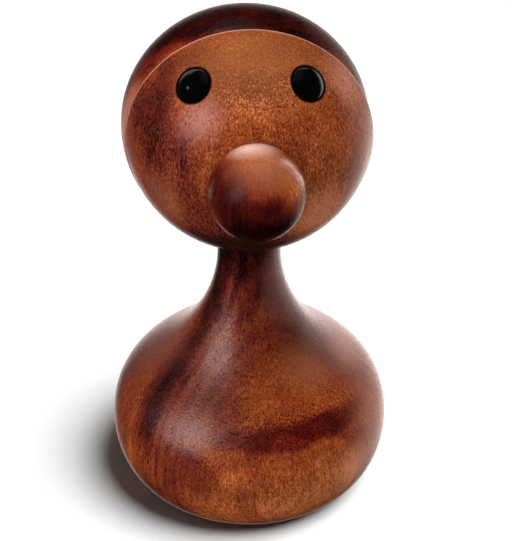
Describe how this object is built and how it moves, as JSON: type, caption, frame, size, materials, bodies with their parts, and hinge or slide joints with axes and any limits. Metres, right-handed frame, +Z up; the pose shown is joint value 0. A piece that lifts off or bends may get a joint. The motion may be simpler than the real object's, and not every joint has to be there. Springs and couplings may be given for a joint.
{
  "type": "eyeglasses display stand",
  "caption": "Turned wooden figure stand: gourd body, slim neck, ball head with domed face, peg eyes and a big ball nose that carries the bridge of a pair of glasses.",
  "frame": {"origin": "on the table, at the centre of the body's flat base", "axes": "+Z up along the turned body, -Y the way the figure faces, +X towards the figure's own left-hand side"},
  "size_m": [0.0856, 0.0957, 0.1606],
  "materials": {
    "body_wood": "lacquered satin gloss",
    "head_wood": "lacquered satin gloss",
    "face_wood": "lacquered satin gloss",
    "nose_wood": "lacquered satin gloss",
    "eye_black": "polished black",
    "dowel_wood": "raw hardwood"
  },
  "bodies": {
    "root": {"body": "body_wood", "head_back": "head_wood", "face_dome": "face_wood", "nose_ball": "nose_wood", "left_eye_peg": "eye_black", "right_eye_peg": "eye_black", "neck_dowel": "dowel_wood", "head_dowel": "dowel_wood", "nose_dowel": "dowel_wood"}
  },
  "joints": []
}
